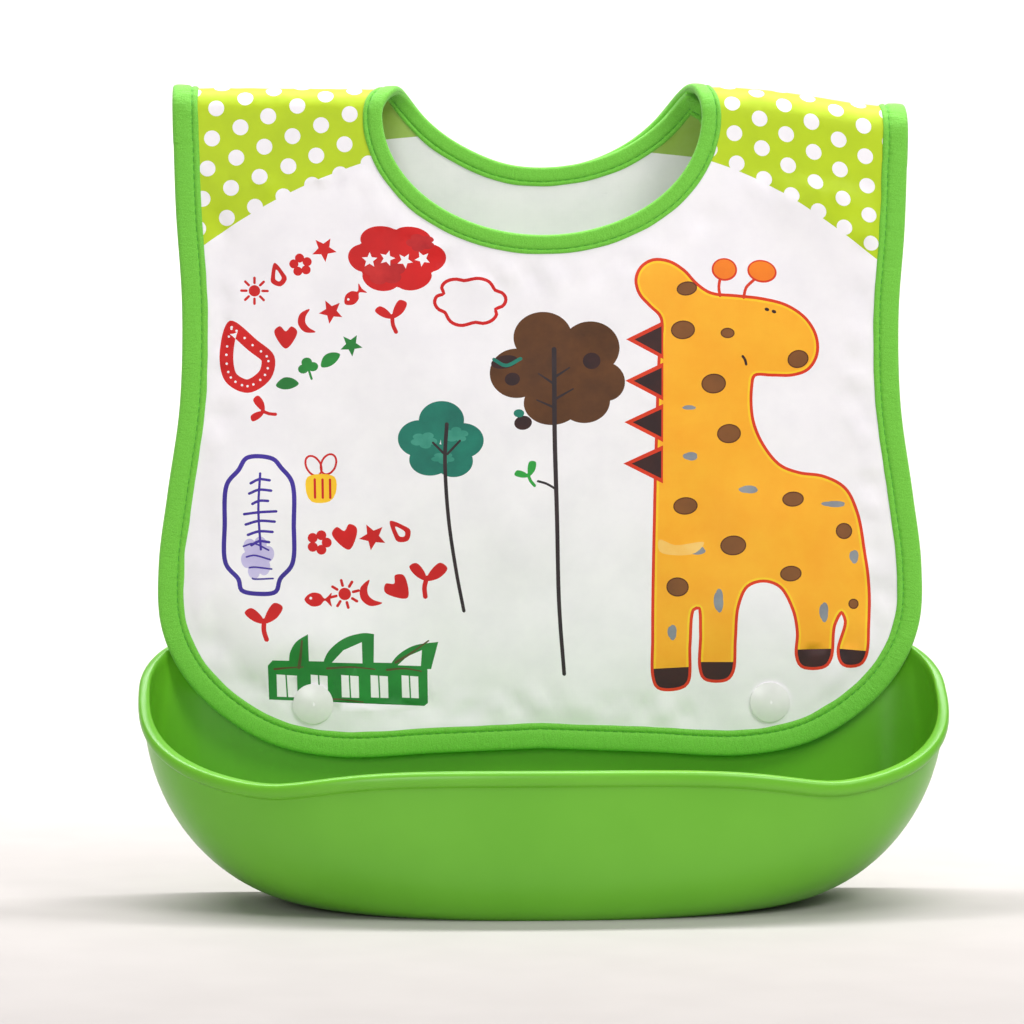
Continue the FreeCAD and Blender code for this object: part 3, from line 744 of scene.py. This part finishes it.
# --- finishes
class Finish:
    """A material being wired up."""

    def __init__(self, name):
        self.material = bpy.data.materials.new("bib_" + name)
        self.material.use_nodes = True
        self.tree = self.material.node_tree
        self.shader = self.tree.nodes["Principled BSDF"]

    def node(self, kind, **inputs):
        node = self.tree.nodes.new("ShaderNode" + kind)
        for key, value in inputs.items():
            name = key.replace("_", " ")
            if name in node.inputs:
                node.inputs[name].default_value = value
            else:
                setattr(node, key, value)
        return node

    def link(self, source, target):
        self.tree.links.new(source, target)

    def set(self, **inputs):
        for key, value in inputs.items():
            self.shader.inputs[key.replace("_", " ")].default_value = value

    def place(self):
        """Where a texture sits on a piece from the CAD model."""
        return self.node("TexCoord").outputs["Object"]

    def pattern(self):
        """Where a texture sits along the cloth or the tape."""
        return self.node("UVMap", uv_map="pattern").outputs["UV"]

    def texture(self, kind, place, output="Fac", **inputs):
        texture = self.node("Tex" + kind, **inputs)
        self.link(place, texture.inputs["Vector"])
        return texture.outputs[output]

    def bumps(self, *layers):
        """Bumps on top of each other, each as (height, strength, distance)."""
        below = None
        for height, strength, distance in layers:
            bump = self.node("Bump", Strength=strength, Distance=distance)
            self.link(height, bump.inputs["Height"])
            if below:
                self.link(below, bump.inputs["Normal"])
            below = bump.outputs["Normal"]
        self.link(below, self.shader.inputs["Normal"])

    def mixed(self, colour, other, factor, low=0.35, high=0.65):
        ramp = self.node("ValToRGB")
        for element, position, shade in zip(ramp.color_ramp.elements, (low, high), (colour, other)):
            element.position = position
            element.color = linear(shade)
        self.link(factor, ramp.inputs["Fac"])
        self.link(ramp.outputs["Color"], self.shader.inputs["Base Color"])


def linear(colour):
    shares = [c / 255 for c in colour]
    return tuple(c / 12.92 if c <= 0.04045 else ((c + 0.055) / 1.055) ** 2.4 for c in shares) + (1.0,)


def cloth_finish(finish, colour, other):
    """A plain weave, as two crossed bands, with faint spots."""
    pattern = finish.pattern()
    bands = [finish.texture("Wave", pattern, Scale=62.0, Distortion=0.6, Detail=1.0, Detail_Scale=2.0,
                            bands_direction=direction) for direction in "XY"]
    finish.bumps(*((band, 0.08, 0.00005) for band in bands))
    finish.mixed(colour, other, finish.texture("Noise", pattern, Scale=6.0, Detail=5.0, Roughness=0.62))
    finish.set(Roughness=0.55, Sheen_Weight=0.06, Specular_IOR_Level=0.35)


PRINT = {
    "white": ((248, 245, 249), (242, 239, 244)), "lime": ((188, 214, 22), (180, 206, 20)),
    "red": ((214, 18, 18), (198, 12, 14)), "darkred": ((178, 18, 26), (206, 40, 38)),
    "green": ((34, 140, 54), (26, 116, 46)), "leafgreen": ((40, 160, 60), (30, 138, 50)),
    "teal": ((26, 128, 108), (18, 106, 92)), "palteal": ((70, 158, 138), (38, 132, 112)),
    "bark": ((100, 58, 22), (78, 44, 16)), "brown": ((96, 46, 12), (78, 36, 8)),
    "ink": ((40, 22, 26), (62, 30, 28)), "trunk": ((34, 28, 34), (52, 38, 42)), "umber": ((96, 72, 40), (70, 84, 42)),
    "orange": ((252, 182, 42), (249, 170, 34)), "cocoa": ((136, 84, 40), (120, 74, 36)),
    "tangerine": ((250, 136, 28), (240, 122, 24)), "yellow": ((252, 208, 44), (250, 196, 30)),
    "buff": ((250, 206, 120), (246, 190, 90)), "redorange": ((226, 62, 22), (212, 48, 20)),
    "violet": ((66, 44, 160), (52, 34, 140)), "lilac": ((186, 176, 222), (206, 198, 232)),
    "smudge": ((148, 152, 158), (120, 126, 138)), "lining": ((232, 233, 231), (224, 226, 224)),
    "lining_lime": ((140, 176, 60), (152, 184, 84)),
}
# (colour, other colour, how fine the mix is, roughness)
PLAIN = {"snap_plastic": ((244, 241, 243), (238, 235, 237), 160.0, 0.28),
         "floor": ((188, 183, 181), (185, 180, 178), 30.0, 0.75)}


def finish_for(name):
    """The finish of that name, made when it's first asked for."""
    return bpy.data.materials.get("bib_" + name) or make_finish(name)


def make_finish(name):
    finish = Finish(name)
    if name.startswith("print_"):
        cloth_finish(finish, *PRINT[name[6:]])
    elif name == "binding_tape":
        pattern = finish.pattern()
        across = finish.node("Mapping", Scale=(1.0, 0.35, 1.0))
        finish.link(pattern, across.inputs["Vector"])
        creases = finish.texture("Noise", across.outputs["Vector"], Scale=70.0, Detail=5.0, Roughness=0.6,
                                 Distortion=0.6)
        grain = finish.texture("Noise", pattern, Scale=230.0, Detail=4.0, Roughness=0.7)
        finish.bumps((creases, 0.7, 0.0006), (grain, 0.7, 0.0003))
        finish.mixed((104, 192, 50), (128, 212, 74), grain)
        finish.set(Roughness=0.62, Sheen_Weight=0.2, Sheen_Roughness=0.5, Specular_IOR_Level=0.3)
    elif name == "thread":
        finish.bumps((finish.texture("Wave", finish.place(), Scale=900.0), 0.3, 0.00005))
        finish.set(Base_Color=linear((74, 164, 44)), Roughness=0.7, Sheen_Weight=0.2)
    elif name == "silicone":
        place = finish.place()
        finish.mixed((102, 178, 38), (108, 184, 44), finish.texture("Noise", place, Scale=22.0, Detail=3.0))
        finish.bumps((finish.texture("Noise", place, Scale=1400.0, Detail=2.0), 0.12, 0.0001))
        finish.set(Roughness=0.33, Subsurface_Weight=0.06, Subsurface_Scale=0.002, Specular_IOR_Level=0.45,
                   Subsurface_Radius=(0.6, 1.0, 0.3))
    elif name in ("hook_tape", "loop_tape"):
        pile = (finish.texture("Voronoi", finish.place(), "Distance", Scale=900.0) if name == "hook_tape"
                else finish.texture("Noise", finish.place(), Scale=1500.0))
        finish.bumps((pile, 0.9, 0.0006))
        finish.mixed((226, 226, 222), (240, 240, 236), pile, 0.1, 0.8)
        finish.set(Roughness=0.85, Sheen_Weight=0.4)
    elif name in PLAIN:
        colour, other, scale, rough = PLAIN[name]
        finish.mixed(colour, other, finish.texture("Noise", finish.place(), Scale=scale, Detail=2.0))
        finish.set(Roughness=rough)
    else:
        raise ValueError(f"no finish called {name}")
    return finish.material


# --- operators
def node_object(name):
    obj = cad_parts.get(name)
    if obj is None:
        raise RuntimeError(f"the frame has no node {name}")
    return obj


def dress_node(name, finish):
    obj = node_object(name)
    if not obj.data.materials:
        obj.data.materials.append(None)
    for place in obj.material_slots:
        place.link = "OBJECT"
        place.material = finish_for(finish)


def print_colours(names):
    return {name: finish_for("print_" + name) for name in names}


def number(name, description, default, **kind):
    return bpy.props.FloatProperty(name=name, description=description, default=default, **kind)


def length(name, description, default):
    return number(name, description, default, unit="LENGTH")


class ClothSettings(bpy.types.PropertyGroup):
    thickness: length("Thickness", "Thickness of the laminated cloth", 0.0007)
    wrinkle_depth: length("Wrinkle depth", "Height of the soft wrinkles", 0.0026)
    edge_pucker: number("Edge pucker", "Share of the wrinkles beside the binding", 0.8, subtype="FACTOR")
    grid_step: length("Grid step", "Spacing of the cloth's mesh", 0.003)
    dot_diameter: length("Dot diameter", "Diameter of the yoke's dots", 0.0054)
    dot_spacing: length("Dot spacing", "Distance between neighbouring dots", 0.0103)


class TapeSettings(bpy.types.PropertyGroup):
    roll: length("Roll", "Height of the tape's roll above the cloth", 0.00155)
    stitch_length: length("Stitch length", "Length of one stitch", 0.0021)
    stitch_gap: length("Stitch gap", "Distance between stitches", 0.0009)


class StageSettings(bpy.types.PropertyGroup):
    distance: length("Camera distance", "From the front panel to the camera", 1.08)
    height: length("Camera height", "Height of the camera", 0.150)
    turn: number("Camera turn", "Angle the camera is swung round to the left", math.radians(3.0), subtype="ANGLE")
    focal: number("Focal length", "The lens's focal length in mm", 114.2)
    key: number("Key light", "Power of the main light in watts", 6.9)
    ambient: number("Ambient light", "Strength of the white surroundings", 0.29)
    backdrop: number("Backdrop light", "Power of the light on the backdrop in watts", 88.0)


class BIB_OT_catcher(bpy.types.Operator):
    """Gives the silicone catcher and its studs their finishes"""
    bl_idname = "bib.catcher"
    bl_label = "Catcher"

    def execute(self, context):
        dress_node("catcher", "silicone")
        for side in ("left", "right"):
            for part in ("snap_stud", "stud_cap", "snap_cap", "snap_socket"):
                dress_node(f"{side}_{part}", "snap_plastic")
        return {"FINISHED"}


class BIB_OT_front(bpy.types.Operator):
    """Builds the printed front panel and its bindings"""
    bl_idname = "bib.front"
    bl_label = "Front panel"

    def execute(self, context):
        cloth, tape = context.scene.bib_cloth, context.scene.bib_tape
        outer, neck = front_outline_paths()
        outline = outer + neck
        centres = dots(cloth, 200, SEAM)
        colours = print_colours(PRINT)
        panel = cloth_piece(cloth, "front_cloth", -1, tucked(outline), colours, print_motifs(), centres)
        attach(panel, "bib")
        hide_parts("front_panel")
        for name, path, width, node in (("front_edge_tape", outer, EDGE_WIDTH, "front_edge_binding"),
                                        ("front_neck_tape", neck, NECK_WIDTH, "front_neck_binding")):
            obj = tape_piece(tape, name, -1, path, outline, lambda at, total, wide=width: wide)
            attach(obj, "bib")
            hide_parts(node)
        return {"FINISHED"}


class BIB_OT_flaps(bpy.types.Operator):
    """Builds both back flaps with their shoulder folds, bindings and closure"""
    bl_idname = "bib.flaps"
    bl_label = "Back flaps"

    def execute(self, context):
        cloth, tape = context.scene.bib_cloth, context.scene.bib_tape
        for side in (-1, 1):
            name = SIDE_NAME[side]
            path = flap_outline_path(side)
            centres = dots(cloth, SEAM, 2 * back_start(side))
            colours = print_colours(("white", "lime", "lining", "lining_lime"))
            piece = cloth_piece(cloth, f"{name}_flap_cloth", side, tucked(path), colours, [], centres)

            def width_at(at, total):
                wide = EDGE_WIDTH + (FLAP_WIDTH - EDGE_WIDTH) * smoothstep((at - 20) / 50)
                return wide + (NECK_WIDTH - wide) * smoothstep((at / total - 0.5) / 0.12)

            trim = tape_piece(tape, f"{name}_flap_tape", side, path, path, width_at)
            for obj in (piece, trim):
                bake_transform(obj)
            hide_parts(f"{name}_shoulder_fold", f"{name}_flap")
            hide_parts(f"{name}_fold_edge_binding", f"{name}_fold_neck_binding", f"{name}_flap_edge_binding",
                        f"{name}_flap_neck_binding")
        dress_node("loop_patch", "loop_tape")
        dress_node("hook_patch", "hook_tape")
        return {"FINISHED"}


class BIB_OT_stage(bpy.types.Operator):
    """Sets the floor, the lights and the camera"""
    bl_idname = "bib.stage"
    bl_label = "Stage"

    def execute(self, context):
        stage = context.scene.bib_stage
        scene = context.scene
        sweep = [math.radians(d) for d in range(6, 91, 6)]
        profile = [(-2.5, 0.0), (1.0, 0.0)] + [(1.0 + 0.8 * math.sin(a), 0.8 - 0.8 * math.cos(a)) for a in sweep]
        profile.append((1.8, 3.0))
        verts = [(x, y, z) for y, z in profile for x in (-3.5, 3.5)]
        faces = [(2 * i, 2 * i + 1, 2 * i + 3, 2 * i + 2) for i in range(len(profile) - 1)]
        make_object("floor", verts, faces, [finish_for("floor")])
        world = bpy.data.worlds.new("studio")
        world.use_nodes = True
        background = world.node_tree.nodes["Background"]
        background.inputs["Color"].default_value = (1.0, 1.0, 1.0, 1.0)
        background.inputs["Strength"].default_value = stage.ambient
        scene.world = world
        middle, pinkish, white = (0.0, 0.0, 0.13), (1.0, 0.985, 0.985), (1.0, 1.0, 1.0)
        for name, place, aim, size, power, tone in (
                ("key", (0.75, -0.7, 0.95), middle, (0.45, 0.45), stage.key, (1.0, 0.985, 0.975)),
                ("fill", (-0.3, -1.3, 0.42), (0.0, 0.0, 0.1), (0.5, 0.4), stage.key * 0.66, pinkish),
                ("top", (0.1, -0.3, 1.1), middle, (0.6, 0.3), stage.key * 0.34, white),
                ("backdrop", (0.0, 0.35, 1.6), (0.0, 1.8, 0.35), (2.6, 0.4), stage.backdrop, white)):
            data = bpy.data.lights.new(name, "AREA")
            data.shape = "RECTANGLE"
            data.size, data.size_y = size
            data.energy = power
            data.color = tone
            lamp = bpy.data.objects.new(name, data)
            lamp.location = place
            lamp.rotation_euler = (Vector(aim) - Vector(place)).to_track_quat("-Z", "Y").to_euler()
            scene.collection.objects.link(lamp)
        data = bpy.data.cameras.new("camera")
        data.lens = stage.focal
        data.sensor_width = 36.0
        camera = bpy.data.objects.new("camera", data)
        aim = Vector((-0.0117, 0.0, 0.1301))
        camera.location = (aim.x - stage.distance * math.sin(stage.turn), -stage.distance * math.cos(stage.turn),
                           stage.height)
        camera.rotation_euler = (aim - camera.location).to_track_quat("-Z", "Y").to_euler()
        scene.collection.objects.link(camera)
        scene.camera = camera
        scene.view_settings.view_transform = "Standard"
        return {"FINISHED"}


class BIB_PT_panel(bpy.types.Panel):
    """The bib's settings and the buttons that build it"""
    bl_label = "Bib"
    bl_idname = "BIB_PT_panel"
    bl_space_type = "VIEW_3D"
    bl_region_type = "UI"
    bl_category = "Bib"

    def draw(self, context):
        for operator in OPERATORS:
            self.layout.operator(operator.bl_idname)
        for group in GROUPS:
            settings = getattr(context.scene, group)
            for name in GROUPS[group].__annotations__:
                self.layout.prop(settings, name)


OPERATORS = (BIB_OT_catcher, BIB_OT_front, BIB_OT_flaps, BIB_OT_stage)
GROUPS = {"bib_cloth": ClothSettings, "bib_tape": TapeSettings, "bib_stage": StageSettings}


def register():
    for group in GROUPS:
        bpy.utils.register_class(GROUPS[group])
        setattr(bpy.types.Scene, group, bpy.props.PointerProperty(type=GROUPS[group]))
    for cls in OPERATORS + (BIB_PT_panel,):
        bpy.utils.register_class(cls)


def unregister():
    for cls in (BIB_PT_panel,) + OPERATORS[::-1]:
        bpy.utils.unregister_class(cls)
    for group in GROUPS:
        delattr(bpy.types.Scene, group)
        bpy.utils.unregister_class(GROUPS[group])


def main():
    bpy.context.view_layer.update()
    register()
    bpy.ops.bib.catcher()
    bpy.ops.bib.front()
    bpy.ops.bib.flaps()
    bpy.ops.bib.stage()


if __name__ == "__main__":
    main()
